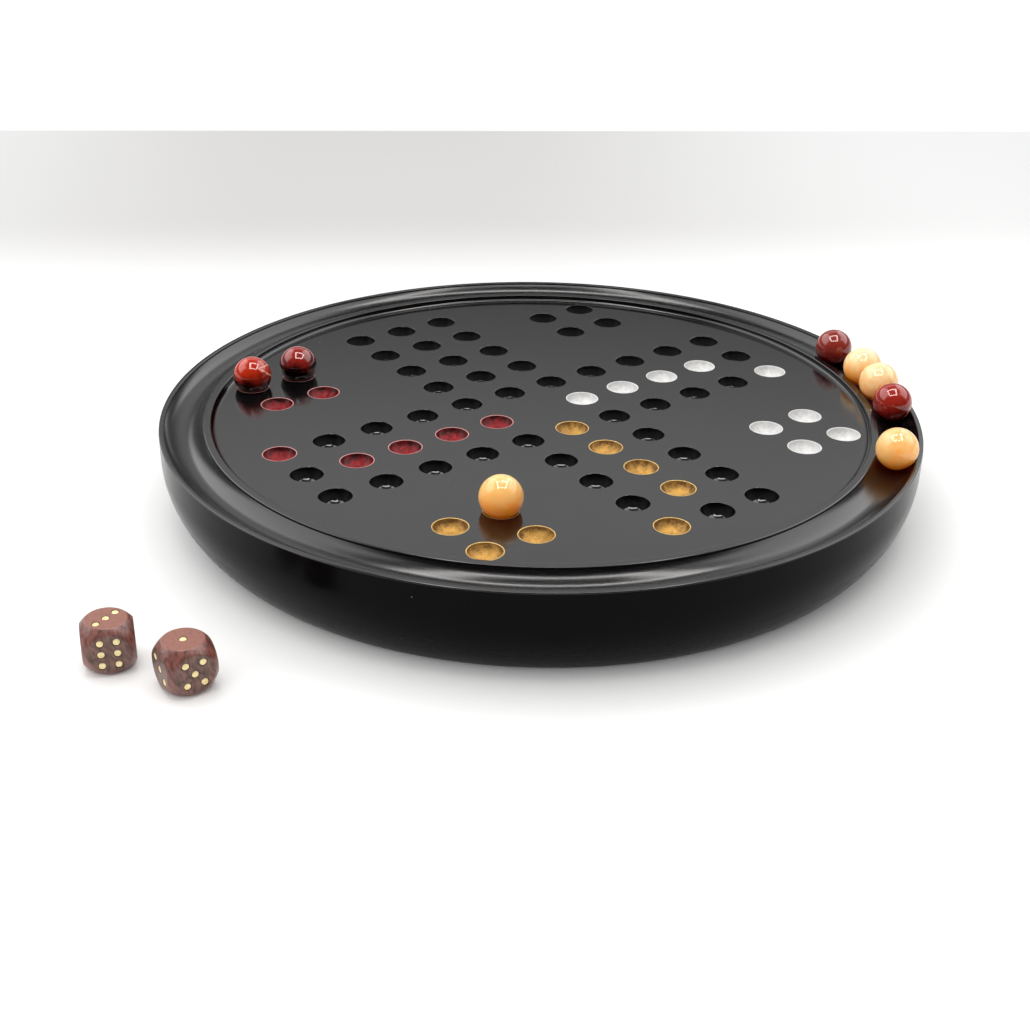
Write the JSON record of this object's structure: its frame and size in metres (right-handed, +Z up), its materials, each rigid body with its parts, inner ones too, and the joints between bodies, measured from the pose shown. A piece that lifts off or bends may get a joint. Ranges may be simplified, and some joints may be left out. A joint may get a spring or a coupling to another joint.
{
  "type": "ludo board game",
  "caption": "Round turned black board with a cross of hollows, coloured home hollows, a marble groove in the rim, polished stone marbles and inlaid wooden dice.",
  "frame": {"origin": "centre of the board's flat underside, on the surface that it stands on", "axes": "+Z up; +X along the arm of hollows with the white home row; +Y along the arm with no colour"},
  "size_m": [0.3575, 0.3, 0.0476],
  "materials": {
    "black_lacquer": "satin black lacquer on turned hardwood",
    "red_enamel": "glossy crimson enamel",
    "gold_enamel": "mottled gold enamel, satin",
    "white_enamel": "satin white enamel",
    "red_stone": "polished red carnelian",
    "yellow_stone": "polished yellow stone, cream to amber",
    "rosewood": "oiled and lightly lacquered rosewood",
    "pip_brass": "polished brass pins, flush"
  },
  "bodies": {
    "board": {"turned_board": "black_lacquer", "red_hollow_linings": "red_enamel", "gold_hollow_linings": "gold_enamel", "white_hollow_linings": "white_enamel"},
    "red_marble_1": {"red_marble_1": "red_stone"},
    "red_marble_2": {"red_marble_2": "red_stone"},
    "red_marble_3": {"red_marble_3": "red_stone"},
    "red_marble_4": {"red_marble_4": "red_stone"},
    "yellow_marble_1": {"yellow_marble_1": "yellow_stone"},
    "yellow_marble_2": {"yellow_marble_2": "yellow_stone"},
    "yellow_marble_3": {"yellow_marble_3": "yellow_stone"},
    "yellow_marble_4": {"yellow_marble_4": "yellow_stone"},
    "first_die": {"first_die": "rosewood", "first_die_pips": "pip_brass"},
    "second_die": {"second_die": "rosewood", "second_die_pips": "pip_brass"}
  },
  "joints": [
    {"name": "red_marble_1_lift", "type": "slide", "parent": "board", "child": "red_marble_1", "axis": [0, 0, 1], "range_m": [0, 0.06]},
    {"name": "red_marble_2_lift", "type": "slide", "parent": "board", "child": "red_marble_2", "axis": [0, 0, 1], "range_m": [0, 0.06]},
    {"name": "yellow_marble_1_lift", "type": "slide", "parent": "board", "child": "yellow_marble_1", "axis": [0, 0, 1], "range_m": [0, 0.06]},
    {"name": "first_die_lift", "type": "slide", "parent": "board", "child": "first_die", "axis": [0, 0, 1], "range_m": [0, 0.06]},
    {"name": "second_die_lift", "type": "slide", "parent": "board", "child": "second_die", "axis": [0, 0, 1], "range_m": [0, 0.06]},
    {"name": "red_marble_3_roll", "type": "hinge", "parent": "board", "child": "red_marble_3", "pos_m": [0, 0, 0], "axis": [0, 0, 1], "range_deg": [0, 154]},
    {"name": "yellow_marble_2_roll", "type": "hinge", "parent": "board", "child": "yellow_marble_2", "pos_m": [0, 0, 0], "axis": [0, 0, 1], "range_deg": [0, 3]},
    {"name": "yellow_marble_3_roll", "type": "hinge", "parent": "board", "child": "yellow_marble_3", "pos_m": [0, 0, 0], "axis": [0, 0, 1], "range_deg": [-1.5, 0]},
    {"name": "red_marble_4_roll", "type": "hinge", "parent": "board", "child": "red_marble_4", "pos_m": [0, 0, 0], "axis": [0, 0, 1], "range_deg": [-11.5, 0]},
    {"name": "yellow_marble_4_roll", "type": "hinge", "parent": "board", "child": "yellow_marble_4", "pos_m": [0, 0, 0], "axis": [0, 0, 1], "range_deg": [-154, 0]}
  ]
}
